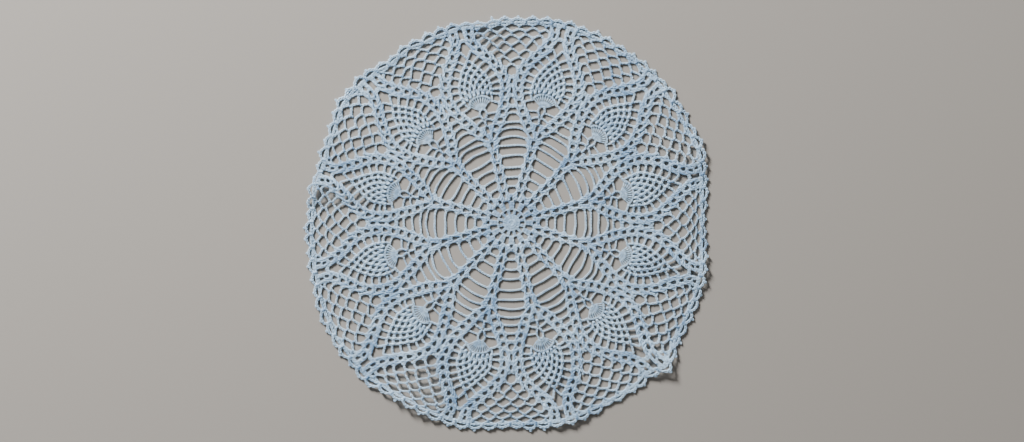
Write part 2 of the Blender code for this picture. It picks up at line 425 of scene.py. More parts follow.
@dataclass
class Basket:
    """Collects placed stitches, in mm on the even pattern, until they are joined into one mesh."""

    # The least gap that a stitch keeps under it, in mm.
    clearance: float = 0.17
    # How much stitches of a kind differ in girth, in roll and in tone.
    girths: tuple[float, float] = (0.94, 1.08)
    roll: float = 0.05
    tones: float = 0.7
    stitches: dict[StitchKind, list[tuple[float, ...]]] = field(
        default_factory=lambda: {kind: [] for kind in StitchKind}
    )

    def chain(self, path: Path, girth: float = 1.0, height: float = 0.8, links: int = 0) -> None:
        """Works a chain along a path.

        Args:
            path: its points; the links keep to it.
            girth: width of the links as a share of the usual.
            height: of the links' middle.
            links: how many, or 0 for as many as fit.
        """
        points = np.array(path)
        steps = np.hypot(*np.diff(points, axis=0).T)
        run = np.concatenate([[0.0], np.cumsum(steps)])
        count = links or max(1, round(run[-1] / StitchKit.link_length))
        places = np.linspace(0.0, run[-1], count + 1)
        spots = list(zip(*(np.interp(places, run, points[:, k]) for k in (0, 1))))
        for start, end in zip(spots, spots[1:]):
            self.stitches[StitchKind.LINK].append((*start, *end, girth, height, height, 0.0))

    def post(
        self,
        foot: Spot,
        head: Spot,
        girth: float = 1.0,
        low: float = 0.7,
        high: float = 0.78,
        paler: float = 0.0,
    ) -> None:
        """Works one post.

        Args:
            foot: where it begins.
            head: where it ends.
            girth: its width and height, as a share of the usual.
            low: height of its middle at the foot.
            high: height of its middle at the head.
            paler: how much paler it is than other posts.
        """
        self.stitches[StitchKind.POST].append((*foot, *head, girth, low, high, paler))

    def knot(self, foot: Spot, head: Spot, girth: float = 1.0, height: float = 0.75) -> None:
        """Works one tight knot from its foot to its head."""
        self.stitches[StitchKind.KNOT].append((*foot, *head, girth, height, height, 0.0))

    def place(
        self, kind: StitchKind, template: Template, draw: np.random.Generator
    ) -> tuple[np.ndarray, np.ndarray, np.ndarray]:
        """Puts a stitch at each place of its kind.

        Args:
            kind: which stitch.
            template: one such stitch.
            draw: gives the small differences between stitches.

        Returns:
            The points (n, 3) on the even pattern, the turns of the thread at each face's corners
            (m, 2), and a tone for each point (n).
        """
        rows = np.array(self.stitches[kind])
        start, end = rows[:, 0:2], rows[:, 2:4]
        girth, low, high, paler = rows[:, 4:8].T
        girth = girth * draw.uniform(*self.girths, len(rows))
        least = template.points[:, 2].max() * girth + self.clearance
        low, high = np.maximum(low, least), np.maximum(high, least)
        roll = draw.normal(0.0, self.roll, len(rows))
        run = end - start
        side = np.column_stack([-run[:, 1], run[:, 0]]) / np.hypot(run[:, 0], run[:, 1])[:, None]
        x, y, z = (template.points[:, k][None, :] for k in range(3))
        y, z = y * girth[:, None], z * girth[:, None]
        z = z + y * roll[:, None] + low[:, None] + (high - low)[:, None] * x
        plan = start[:, None, :] + run[:, None, :] * x[..., None] + side[:, None, :] * y[..., None]
        points = np.concatenate([plan, z[..., None]], axis=2).reshape(-1, 3)
        twist = template.twist[None, :, :] + draw.uniform(0.0, 1.0, (len(rows), 1, 2))
        # Painted light by kind, added to each stitch's own random tone.
        tone = KIND_PAINTED_LIGHT[kind] + paler + draw.uniform(0.0, self.tones, len(rows))
        return points, twist.reshape(-1, 2), np.repeat(tone, len(template.points))

    def join(
        self, name: str, templates: dict[StitchKind, Template], cloth: ClothLay, seed: int
    ) -> bpy.types.Object:
        """Joins every placed stitch into one mesh, laid as the cloth lies.

        Args:
            name: of the new piece.
            templates: one stitch of each kind.
            cloth: how the cloth lies.
            seed: of the small differences between stitches.

        Returns:
            The new object.
        """
        draw = np.random.default_rng(seed)
        points, corners, counts, twist, shade = [], [], [], [], []
        offset = 0
        for kind, template in templates.items():
            number, size = len(self.stitches[kind]), len(template.points)
            if not number:
                continue
            for kept, made in zip((points, twist, shade), self.place(kind, template, draw)):
                kept.append(made)
            steps = offset + size * np.arange(number)
            corners.append((template.loops[None, :] + steps[:, None]).ravel())
            counts.append(np.tile(template.sizes, number))
            offset += size * number
        sizes = np.concatenate(counts)
        mesh = bpy.data.meshes.new(name)
        mesh.vertices.add(offset)
        mesh.vertices.foreach_set("co", cloth.lay(np.concatenate(points)).ravel())
        mesh.loops.add(int(sizes.sum()))
        mesh.loops.foreach_set("vertex_index", np.concatenate(corners))
        mesh.polygons.add(len(sizes))
        mesh.polygons.foreach_set("loop_start", np.concatenate([[0], np.cumsum(sizes)[:-1]]))
        mesh.polygons.foreach_set("use_smooth", np.ones(len(sizes), dtype=bool))
        mesh.update(calc_edges=True)
        mesh.uv_layers.new(name=THREAD_UV).uv.foreach_set("vector", np.concatenate(twist).ravel())
        tone = mesh.attributes.new(STITCH_TONE_AND_PAINTED_LIGHT, "FLOAT", "POINT")
        tone.data.foreach_set("value", np.concatenate(shade))
        piece = bpy.data.objects.new(name, mesh)
        bpy.context.scene.collection.objects.link(piece)
        return piece


class Gauge(NamedTuple):
    """How a chain is worked: its girth, its height, and its links or 0 for as many as fit."""

    girth: float = 1.0
    height: float = 0.8
    links: int = 0


@dataclass(frozen=True)
class PostPlan:
    """One post on the chart: its foot, its head and its girth."""

    foot: Spot
    head: Spot
    girth: float = 1.0


@dataclass(frozen=True)
class ChainPlan:
    """One chain on the chart: its places, or numbers of rounds that it joins, and how it is worked."""

    places: Sequence[Spot | int]
    gauge: Gauge = Gauge()


Plan = PostPlan | ChainPlan


@dataclass(frozen=True)
class Axis:
    """One axis of the pattern, from the centre outward, and the basket that takes its stitches.

    Its places are across (positive clockwise) and outward, in chart squares. Side -1 mirrors them.
    """

    degrees: float
    basket: Basket
    side: float = 1.0

    def at(self, across: float, outward: float) -> Spot:
        """Turns a place of the chart into one on the cloth.

        Args:
            across: chart squares off the axis.
            outward: chart squares from the centre, along the axis.

        Returns:
            The place on the even pattern, in mm.
        """
        turn = math.radians(self.degrees)
        cos, sin, across = math.cos(turn), math.sin(turn), self.side * across
        return (
            CHART_SQUARE * (outward * cos + across * sin),
            CHART_SQUARE * (outward * sin - across * cos),
        )

    def polar(self, radius: float, degrees: float) -> Spot:
        """Gives the place at a chart radius and an angle off the axis, positive clockwise."""
        turn = math.radians(degrees)
        return self.at(radius * math.sin(turn), radius * math.cos(turn))

    def sides(self) -> tuple["Axis", "Axis"]:
        """Gives the axis as it is and mirrored."""
        return self, replace(self, side=-self.side)

    def chain(self, places: Path, *gauge: float) -> None:
        """Works a chain through places of the chart."""
        self.basket.chain([self.at(*place) for place in places], *gauge)

    def post(self, foot: Spot, head: Spot, *gauge: float) -> None:
        """Works a post between two places of the chart."""
        self.basket.post(self.at(*foot), self.at(*head), *gauge)

    def work(self, plans: Sequence[Plan]) -> None:
        """Works what is planned, in turn.

        Args:
            plans: the posts and chains.
        """
        for plan in plans:
            if isinstance(plan, PostPlan):
                self.post(plan.foot, plan.head, plan.girth)
            else:
                self.chain(plan.places, *plan.gauge)


@dataclass(frozen=True)
class Sector:
    """One twelfth of the pattern: its number, what takes its stitches, and its small differences."""

    number: int
    basket: Basket
    draw: np.random.Generator

    def axis(self, step: float, side: float = 1.0) -> Axis:
        """Gives the axis that lies a number of sectors on from the sector's ladder."""
        return Axis((self.number + step) * SECTOR_TURN, self.basket, side)

    def neighbours(self) -> tuple[Axis, Axis]:
        """Gives the pineapples' axes on both sides of the ladder, each with its side to the ladder."""
        return self.axis(0.5), self.axis(-0.5, -1.0)


def both_sides(half: Path) -> Path:
    """Mirrors half a path, which runs from the middle to the right, and joins both halves."""
    return [(-across, outward) for across, outward in reversed(half) if across] + list(half)


def between(start: Spot, end: Spot, *shares: float) -> Spot:
    """Gives the place between two others, with one share for each direction."""
    return tuple(a + share * (b - a) for a, b, share in zip(start, end, shares))


def bowed(start: Spot, middle: Spot, end: Spot, steps: int = 8) -> Path:
    """Draws a smooth bow.

    Args:
        start: its first point.
        middle: a point that it passes through halfway.
        end: its last point.
        steps: how many straight steps stand for it.

    Returns:
        Its points.
    """
    points = []
    for step in range(steps + 1):
        t = step / steps
        first, mid, last = (1 - t) * (1 - 2 * t), 4 * t * (1 - t), t * (2 * t - 1)
        points.append(tuple(first * a + mid * b + last * c for a, b, c in zip(start, middle, end)))
    return points


# Parts of the pattern


@dataclass(frozen=True)
class CentreMedallion:
    """The close rounds at the middle, from the first ring to where the columns start."""

    first_ring: float = 1.6
    disc_radius: float = 7.9
    spoke_radius: float = 13.8
    disc_posts: int = 24
    disc_girth: float = 0.8
    spoke_girth: float = 0.78
    paler: float = 0.25
    corners: int = 48
    # What repeats twelve times: one side of a column's axis, one side of a ladder's, and what lies
    # across the ladder's axis.
    column: tuple[PostPlan, ...] = (PostPlan((0.6, 8.3), (0.75, 13.8), 0.68),)
    ladder: tuple[Plan, ...] = (
        PostPlan((0.55, 13.8), (0.75, 21.4), 0.72),
        PostPlan((1.5, 13.8), (2.3, 21.4), 0.72),
        PostPlan((2.7, 21.4), (1.5, 28.0)),
        PostPlan((3.2, 21.6), (3.2, 29.4)),
        PostPlan((4.4, 21.6), (5.1, 30.8)),
        ChainPlan([(0.0, 27.8), (2.5, 28.4), (4.9, 30.6)], Gauge(0.9)),
        ChainPlan([(2.3, 21.6), (3.9, 22.7), (5.9, 22.7)], Gauge(0.9)),
    )
    across: tuple[Plan, ...] = (
        ChainPlan(both_sides([(0.0, 20.9), (2.4, 21.2)]), Gauge(0.8)),
        ChainPlan(both_sides([(0.0, 26.6), (1.8, 25.9)]), Gauge(0.9)),
        PostPlan((0.0, 25.8), (0.0, 28.3), 1.1),
    )

    def work(self, basket: Basket) -> None:
        """Works the disc, its ring of small holes and the ring of petals.

        Args:
            basket: takes the stitches.
        """
        for number in range(self.disc_posts):
            axis = Axis((number + 0.5) * FULL_TURN / self.disc_posts, basket)
            foot, head = axis.at(0.0, self.first_ring), axis.at(0.0, self.disc_radius)
            basket.post(foot, head, self.disc_girth, paler=self.paler)
        self.ring(basket, self.first_ring, self.disc_girth)
        self.ring(basket, self.disc_radius, self.disc_girth)
        self.ring(basket, self.spoke_radius, self.spoke_girth)
        for number in range(SECTORS):
            ladder = Axis(number * SECTOR_TURN, basket)
            column = Axis((number + 0.5) * SECTOR_TURN, basket)
            for half_column, half_ladder in zip(column.sides(), ladder.sides()):
                half_column.work(self.column)
                half_ladder.work(self.ladder)
            ladder.work(self.across)

    def ring(self, basket: Basket, radius: float, girth: float) -> None:
        """Works one closed round of chain on a chart radius."""
        turns = [FULL_TURN * k / self.corners for k in range(self.corners + 1)]
        basket.chain([Axis(turn, basket).at(0.0, radius) for turn in turns], girth)


@dataclass(frozen=True)
class Shell:
    """One shell of a column: posts on both sides of a small hole, worked into the shell before.

    Radius and off (degrees from the pineapple's axis) place the hole; wide, low and high are how far it
    reaches to the side, in and out. Crowns are how far the outer posts rise over the shell's top, on
    the ladder's and on the pineapple's side, and reaches are how far out they stand. Spread is how far
    the inner posts stand from the middle at the foot, and posts is how many stand on each side.
    """

    radius: float
    off: float
    ladder_crown: float
    pine_crown: float
    ladder_reach: float
    pine_reach: float
    wide: float
    low: float
    high: float
    spread: float = 0.75
    ladder_posts: int = 2
    pine_posts: int = 2

    def place(self) -> Vector:
        """Gives the hole's middle, across and outward from the pineapple's axis."""
        turn = math.radians(self.off)
        return Vector((self.radius * math.sin(turn), self.radius * math.cos(turn)))


@dataclass(frozen=True)
class ShellColumn:
    """The columns of shells: one between two ladders, then two that part round a pineapple."""

    first: int = 5
    parting: int = 11
    root: float = 23.9
    fork: Spot = (0.0, 83.9)
    fork_foot: Spot = (1.7, 84.4)
    crest: Spot = (6.4, 194.6)
    # Half the width of a chain or post, and how far the end of a bar is braced, in chart squares.
    half_thread: float = 0.95
    brace: float = 2.5
    braces: Gauge = Gauge(0.8, 0.8, links=1)
    # The point of a bow that the braces at its end look to.
    brace_point: int = 3
    # The posts: where their feet and the inner ones' heads stand, against the shell's foot and hole.
    inner_drop: float = 0.7
    outer_rise: float = 0.1
    foot_step: float = 1.55
    head_drop: float = 0.2
    post_girth: float = 0.98
    # The chain of heads; half the arch over the hole, as a share of its width and a height over it;
    # and the short loop that fills the place between two holes.
    heads_rise: float = 0.4
    heads: Gauge = Gauge(0.8, 0.95)
    arch_half: Path = ((0.0, 0.1), (0.6, -0.5), (1.1, -2.6))
    arch: Gauge = Gauge(0.92, 0.9, links=4)
    loop_half: float = 1.3
    loop: Gauge = Gauge(1.05, 0.95, links=1)
    shells: tuple[Shell, ...] = (
        Shell(28.6, 0.0, 3.0, 3.0, 3.6, 3.6, 2.45, 3.2, 2.9, 0.95),
        Shell(38.1, 0.0, 3.0, 3.0, 3.8, 3.8, 2.85, 3.5, 3.0, 0.9),
        Shell(47.3, 0.0, 3.4, 3.4, 3.9, 3.9, 2.7, 3.6, 3.4, 0.9),
        Shell(57.0, 0.0, 3.9, 3.9, 4.0, 4.0, 2.45, 3.7, 3.7, 0.95),
        Shell(68.5, 0.0, 3.0, 3.0, 4.1, 4.1, 2.3, 3.2, 3.3, 1.0),
        Shell(79.2, 0.0, -0.6, -0.6, 6.3, 6.3, 2.35, 3.6, 3.6, 0.8, 3, 3),
        Shell(88.9, 3.1, 1.6, 2.0, 4.0, 3.6, 2.5, 3.4, 2.7, 0.8),
        Shell(96.4, 5.8, 2.2, 0.4, 4.2, 4.2, 2.8, 2.1, 2.1, 2.1),
        Shell(103.7, 8.4, 2.6, 3.0, 4.2, 4.9, 2.9, 2.1, 2.0, 2.2, 2, 3),
        Shell(111.1, 10.05, 2.4, 4.0, 4.3, 4.7, 2.8, 2.3, 2.2, 2.0, 2, 3),
        Shell(119.2, 11.35, 3.0, 3.7, 4.4, 4.3, 2.7, 2.4, 2.4, 1.7),
        Shell(128.3, 12.2, 3.0, 1.5, 4.9, 4.3, 2.4, 2.6, 2.6, 1.4, 3, 2),
        Shell(137.8, 12.2, 3.0, 1.5, 5.7, 4.4, 2.2, 2.9, 2.8, 1.3, 3, 2),
        Shell(146.2, 11.8, 2.6, 2.1, 6.0, 4.4, 2.4, 2.7, 2.6, 1.5, 3, 2),
        Shell(154.5, 10.3, 2.8, 2.1, 5.6, 4.5, 2.5, 2.6, 2.5, 1.6, 3, 2),
        Shell(162.9, 8.4, 2.8, 1.8, 5.2, 4.5, 2.4, 2.8, 2.7, 1.5),
        Shell(169.7, 6.5, 2.8, 1.9, 4.8, 5.4, 2.4, 2.6, 2.5, 1.5, 2, 3),
        Shell(176.9, 4.6, 2.8, 2.6, 4.7, 6.6, 2.3, 2.6, 2.5, 1.4, 2, 3),
        Shell(183.9, 3.1, 2.6, 1.4, 4.6, 5.0, 2.2, 2.6, 2.5, 1.4, 2, 3),
        Shell(191.0, 1.9, 2.0, 2.0, 4.4, 3.2, 2.1, 2.4, 2.3, 1.4),
    )

    def shell(self, number: int) -> Shell:
        """Gives the shell of a round."""
        return self.shells[number - self.first]

    def hole(self, number: int) -> Vector:
        """Finds a round's hole, on the right of the pineapple's axis.

        Args:
            number: the round; one before the first or after the last is worked out from its neighbour.

        Returns:
            The hole's middle, across and outward.
        """
        if number < self.first:
            return Vector((0.0, 2.0 * self.root - self.shell(self.first).radius))
        if number >= self.first + len(self.shells):
            return 2.0 * Vector(self.crest) - self.shells[-1].place()
        return self.shell(number).place()

    def top(self, number: int) -> Vector:
        """Gives the top of a round's shell, across and outward, where the next one is worked."""
        parts = number == self.parting - 1
        return Vector(self.fork) if parts else 0.5 * (self.hole(number) + self.hole(number + 1))

    def foot(self, number: int) -> Vector:
        """Gives where a round's shell is worked into the one before."""
        return Vector(self.fork_foot) if number == self.parting else self.top(number - 1)

    def heading(self, number: int) -> tuple[Vector, Vector]:
        """Finds how the column runs at a round's top.

        Args:
            number: the round.

        Returns:
            The way along the column and the way to its ladder's side, each of length 1.
        """
        along = (self.hole(number + 1) - self.hole(number)).normalized()
        if number == self.parting - 1:
            along = Vector((0.0, 1.0))
        return along, Vector((along.y, -along.x))

    def edge(self, number: int, ladder_side: bool) -> Vector:
        """Finds where a bar, a bridge or the net joins a round's outer post.

        Args:
            number: the round.
            ladder_side: True for the ladder's side of the column.

        Returns:
            The place, across and outward from the pineapple's axis.
        """
        shell = self.shell(number)
        along, across = self.heading(number)
        if ladder_side:
            return self.top(number) + shell.ladder_crown * along + shell.ladder_reach * across
        return self.top(number) + shell.pine_crown * along - shell.pine_reach * across

    def joint(self, number: int, ladder_side: bool, pine: Axis) -> tuple[Vector, Vector]:
        """Gives a joint on the cloth, and the way its column runs there.

        Args:
            number: the round.
            ladder_side: True for the ladder's side of the column.
            pine: the pineapple's axis, with its side.

        Returns:
            The place and the way, of length 1.
        """
        across, outward = self.edge(number, ladder_side)
        along, _ = self.heading(number)
        place = Vector(pine.at(across, outward))
        beyond = Vector(pine.at(across + along.x, outward + along.y))
        return place, (beyond - place).normalized()

    def brace_end(
        self, basket: Basket, joint: tuple[Vector, Vector], toward: Spot, size: float = 1.0
    ) -> None:
        """Braces the end of a chain against its column.

        Args:
            basket: takes the stitches.
            joint: where the chain ends, and the way its column runs there.
            toward: a place further along the chain.
            size: of the braces, as a share of the usual.
        """
        place, along = joint
        reach = size * self.brace * CHART_SQUARE
        out = place + reach * (Vector(toward) - place).normalized()
        for way in (1.0, -1.0):
            basket.chain([tuple(out), tuple(place + way * reach * along)], *self.braces)

    def work(self, sector: Sector) -> None:
        """Works the single column on the pineapple's axis, then the two that part from it.

        Args:
            sector: the one that is worked.
        """
        pine = sector.axis(0.5)
        for number in range(self.first, self.first + len(self.shells)):
            for half in pine.sides() if number >= self.parting else (pine,):
                self.work_shell(half, number)

    def work_shell(self, pine: Axis, number: int) -> None:
        """Works one shell: its posts, the arch over its hole, the chain of heads and the loops.

        Args:
            pine: the pineapple's axis, with its side.
            number: the round.
        """
        shell, foot, hole = self.shell(number), self.foot(number), self.hole(number)
        along = (self.top(number) - foot).normalized()
        across = Vector((along.y, -along.x))
        reach, rise = shell.wide + self.half_thread, shell.high + self.half_thread
        single = number < self.parting
        for hand, posts in ((1.0, shell.ladder_posts), (-1.0, shell.pine_posts)):
            edge = self.edge(number, ladder_side=single or hand > 0.0)
            if single:
                edge.x *= hand
            outer_spread = shell.spread + self.foot_step * (posts - 1)
            inner_foot = foot - self.inner_drop * along + hand * shell.spread * across
            outer_foot = foot + self.outer_rise * along + hand * outer_spread * across
            inner_head = hole + (shell.high - self.head_drop) * along + hand * reach * across
            for count in range(posts):
                share = count / (posts - 1)
                start, end = inner_foot.lerp(outer_foot, share), inner_head.lerp(edge, share)
                pine.post(start, end, self.post_girth)
            pine.chain([inner_head + self.heads_rise * along, edge], *self.heads)
        arch = [(share * reach, rise + over) for share, over in both_sides(self.arch_half)]
        pine.chain([hole + ahead * along + aside * across for aside, ahead in arch], *self.arch)
        low = hole - (shell.low + self.half_thread) * along
        pine.chain([low - shell.spread * across, low + shell.spread * across])
        if number > self.parting:
            rise_below = self.shell(number - 1).high + self.half_thread
            middle = 0.5 * (low + self.hole(number - 1) + rise_below * along)
            half = self.loop_half * across
            pine.chain([middle - half, middle + half], *self.loop)


@dataclass(frozen=True)
class LadderRungs:
    """The bars of chain across a ladder, and the short ties where its two columns close."""

    column: ShellColumn
    # Radius of each bar on the ladder's axis, from the first shells on, then of each two ties.
    bars: tuple[float, ...] = (36.4, 45.8, 55.4, 66.5, 76.3, 85.6, 93.1, 100.9, 108.2)
    ties: tuple[Spot, ...] = ((115.2, 117.1), (125.2, 127.2), (135.2, 137.3), (144.8, 147.0))
    gauge: Gauge = Gauge(1.08, 0.75)
    # How far a bar wanders in or out, in chart squares, and which bar is the first to do so fully.
    slack: float = 1.25
    slack_from: int = 3

    def work(self, sector: Sector) -> None:
        """Works one ladder between the columns on both sides of it.

        Args:
            sector: the one that is worked.
        """
        ladder = sector.axis(0.0)
        for step, radii in enumerate([(radius,) for radius in self.bars] + list(self.ties)):
            start, end = (
                self.column.joint(self.column.first + step, True, pine)
                for pine in sector.neighbours()
            )
            sway = 0.0
            if len(radii) == 1:
                sway = sector.draw.normal(0.0, self.slack * min(1.0, step / self.slack_from))
            for radius in radii:
                path = bowed(start[0], ladder.at(0.0, radius + sway), end[0])
                sector.basket.chain(path, *self.gauge)
            self.column.brace_end(sector.basket, start, path[self.column.brace_point])
            self.column.brace_end(sector.basket, end, path[-1 - self.column.brace_point])


@dataclass(frozen=True)
class Pineapple:
    """The stem, the fan and the narrowing mesh between two columns that have parted."""

    column: ShellColumn
    # One side of the stem: the close part where the columns part, then the V that carries the fan.
    # A number among its places is that round's outer post.
    stem: tuple[Plan, ...] = (
        PostPlan((0.7, 84.6), (0.9, 91.6), 0.9),
        PostPlan((2.75, 91.6), (2.9, 99.2)),
        PostPlan((4.4, 93.0), (4.6, 99.2)),
        PostPlan((0.9, 107.2), (3.3, 112.2), 1.1),
        ChainPlan([(0.0, 91.2), (2.6, 91.3), 11], Gauge(0.95)),
        ChainPlan([12, (8.6, 103.9), (5.0, 105.6), (1.7, 106.5)], Gauge(1.05, 0.85)),
        ChainPlan([(0.3, 104.8), (1.5, 105.6), (1.5, 107.2), (0.3, 108.0)], Gauge(0.6, 0.85, 3)),
        ChainPlan([(3.3, 112.0), (7.4, 111.9), (11.2, 111.2), 13], Gauge(0.9)),
        ChainPlan([(3.3, 112.0), (3.4, 114.4), (2.5, 117.0), (0.0, 118.2)], Gauge(0.95, 0.95)),
        ChainPlan([(12.7, 123.4), (14.4, 127.2)], Gauge(0.95)),
    )
    stem_across: tuple[Plan, ...] = (
        ChainPlan(both_sides([(0.0, 99.1), (7.6, 99.3)]), Gauge(0.9)),
        PostPlan((0.0, 99.0), (0.0, 105.0), 1.2),
    )
    # The fan: the posts' feet stand on a small oval and turn more than their heads, and the outer
    # posts are a little shorter.
    fan_centre: float = 117.0
    fan_foot: Spot = (2.2, 1.1)
    foot_turn: float = 1.25
    fan_radius: float = 13.9
    fan_droop: float = 0.03
    fan_spread: float = 57.0
    fan_posts: int = 11
    fan_girth: float = 0.54
    fan_height: float = 0.85
    fan_paler: float = 0.4
    fan_heads: Gauge = Gauge(1.1, 0.85)
    # The mesh's knots, half of each row, from the fan to the tip.
    mesh: tuple[Path, ...] = (
        ((2.2, 132.9), (6.6, 132.1), (10.7, 130.6), (14.6, 129.0)),
        ((0.0, 139.8), (5.2, 139.0), (10.7, 136.8), (15.2, 133.8)),
        ((3.1, 145.0), (9.7, 143.2), (15.6, 140.2)),
        ((0.0, 150.8), (7.2, 149.0), (14.2, 146.4)),
        ((4.0, 155.1), (11.2, 152.3)),
        ((0.0, 160.0), (8.0, 158.6)),
        ((4.2, 164.0),),
        ((0.0, 169.6),),
    )
    # How far a knot reaches in and out, how far its foot leans in, and its girth.
    knot_in: float = 1.8
    knot_out: float = 1.7
    knot_lean: float = 0.99
    knot_girth: float = 1.55
    # How far under its knot an arch stays, and where its shoulders lie between foot and crown.
    arch_drop: float = 0.6
    shoulder: Spot = (0.28, 0.55)
    arch: Gauge = Gauge(1.34, 0.8)
    # Where the chains to the columns leave the fan's corner and the mesh, up to the tip.
    corner_inset: Spot = (0.6, 1.2)
    bridges: Path = (
        *((14.7, 129.3), (15.4, 133.3), (15.8, 139.4), (14.4, 145.7)),
        *((11.4, 151.8), (8.2, 158.6), (4.0, 165.3), (0.5, 171.8)),
    )
    bridge_first: int = 14
    bridge: Gauge = Gauge(1.15, 0.75)
    bridge_brace: float = 0.8
    # How far a bridge sags, in chart squares, and how much that differs.
    sag: float = -0.4
    slack: float = 0.3
    # The tip and the ties that close the columns over it: across both sides, then one side.
    tip_across: tuple[Plan, ...] = (
        PostPlan((0.0, 166.9), (0.0, 172.4), 1.3),
        ChainPlan(both_sides([(0.0, 188.9), (3.744, 187.1), (5.2, 183.7)]), Gauge(1.05)),
        ChainPlan(both_sides([(0.0, 190.4), (3.456, 188.6), (4.8, 185.2)]), Gauge(1.05)),
        ChainPlan(both_sides([(0.0, 200.7), (4.2, 200.3)]), Gauge(1.2)),
    )
    tip: tuple[ChainPlan, ...] = (
        ChainPlan([(3.5, 187.6), (3.8, 191.4), (3.7, 195.6), (3.4, 199.6)], Gauge(1.05)),
        ChainPlan([(5.2, 194.6), (5.3, 199.8)], Gauge(1.25)),
        ChainPlan([(3.0, 200.4), (7.4, 200.2), (12.6, 199.4)], Gauge(1.2)),
        ChainPlan([(10.9, 193.2), (12.2, 196.4), (12.4, 199.6)], Gauge(1.1)),
    )

    def work(self, sector: Sector) -> None:
        """Works the whole pineapple on its axis.

        Args:
            sector: the one that is worked.
        """
        pine = sector.axis(0.5)
        for half in pine.sides():
            half.work([self.joined(plan) for plan in self.stem])
        pine.work(self.stem_across)
        self.work_fan(pine)
        self.work_mesh(pine)
        self.work_bridges(pine, sector.draw)
        pine.work(self.tip_across)
        for half in pine.sides():
            half.work(self.tip)

    def joined(self, plan: Plan) -> Plan:
        """Puts the column's outer posts where numbers of rounds stand in a chain's places.

        Args:
            plan: a chain, or a post, which stays as it is.

        Returns:
            The plan with places only.
        """
        if isinstance(plan, PostPlan):
            return plan
        column = self.column
        places = [column.edge(spot, False) if isinstance(spot, int) else spot for spot in plan.places]
        return replace(plan, places=places)

    def work_fan(self, pine: Axis) -> None:
        """Works the fan of tall posts, and the heads along its edge.

        Args:
            pine: the pineapple's axis.
        """
        heads = []
        wide, high = self.fan_foot
        gauge = (self.fan_girth, self.fan_height, self.fan_height, self.fan_paler)
        for number in range(self.fan_posts):
            share = 2.0 * number / (self.fan_posts - 1) - 1.0
            turn = math.radians(self.fan_spread * share)
            under = self.foot_turn * turn
            foot = (wide * math.sin(under), self.fan_centre + high * math.cos(under))
            radius = self.fan_radius * (1.0 - self.fan_droop * share * share)
            head = (radius * math.sin(turn), self.fan_centre + radius * math.cos(turn))
            pine.post(foot, head, *gauge)
            heads.append(head)
        pine.chain(heads, *self.fan_heads)

    def work_mesh(self, pine: Axis) -> None:
        """Works the mesh: each arch stands on two knots of its row and carries one of the next.

        Args:
            pine: the pineapple's axis.
        """
        for row, following in zip(self.mesh, self.mesh[1:]):
            knots, peaks = both_sides(row), both_sides(following)
            for across, outward in knots:
                foot = pine.at(across * self.knot_lean, outward - self.knot_in)
                pine.basket.knot(foot, pine.at(across, outward + self.knot_out), self.knot_girth)
            for left, right, (across, outward) in zip(knots, knots[1:], peaks):
                crown = (across, outward - self.arch_drop)
                shoulders = [between(knot, crown, *self.shoulder) for knot in (left, right)]
                pine.chain([left, shoulders[0], crown, shoulders[1], right], *self.arch)

    def work_bridges(self, pine: Axis, draw: np.random.Generator) -> None:
        """Works the chains from the mesh's sides to the columns.

        Args:
            pine: the pineapple's axis.
            draw: gives the small differences between chains.
        """
        turn = math.radians(self.fan_spread)
        inset, drop = self.corner_inset
        corner = (
            self.fan_radius * math.sin(turn) - inset,
            self.fan_centre + self.fan_radius * math.cos(turn) - drop,
        )
        outward = Vector(pine.at(0.0, 1.0)).normalized()
        for step, place in enumerate([corner, *self.bridges]):
            sag = draw.normal(self.sag, self.slack)
            for half in pine.sides():
                end = self.column.joint(self.bridge_first + step, False, half)
                start = Vector(half.at(*place))
                middle = 0.5 * (start + end[0]) - sag * CHART_SQUARE * outward
                path = bowed(start, middle, end[0])
                half.basket.chain(path, *self.bridge)
                if step < len(self.mesh) - 1:
                    self.column.brace_end(half.basket, end, path[self.column.brace_point], self.bridge_brace)


